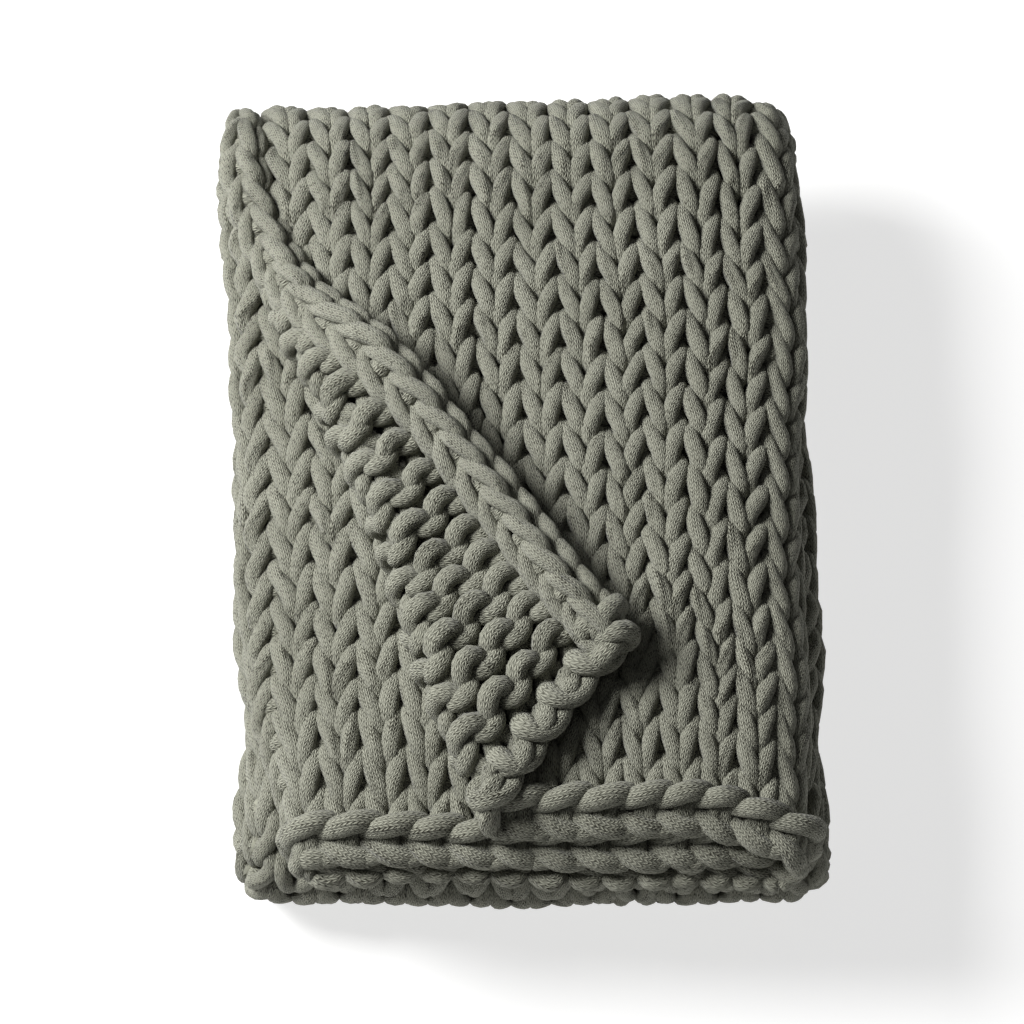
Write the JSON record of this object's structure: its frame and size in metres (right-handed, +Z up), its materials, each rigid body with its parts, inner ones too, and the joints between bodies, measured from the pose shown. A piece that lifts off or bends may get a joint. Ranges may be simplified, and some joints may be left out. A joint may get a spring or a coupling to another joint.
{
  "type": "folded chunky knit blanket",
  "caption": "Chunky knit throw blanket in sage cotton tube yarn, folded in thirds both ways, one corner turned back to show the purl side.",
  "frame": {"origin": "centre of the bounding box's base, on the surface that the folded blanket rests on", "axes": "+X to the right along the front hems, +Y from the front hems to the back fold, +Z up"},
  "size_m": [0.4786, 0.648, 0.2395],
  "materials": {
    "sage_yarn": "matt knitted cotton tube yarn, sage green"
  },
  "bodies": {
    "root": {"blanket": "sage_yarn"}
  },
  "joints": []
}
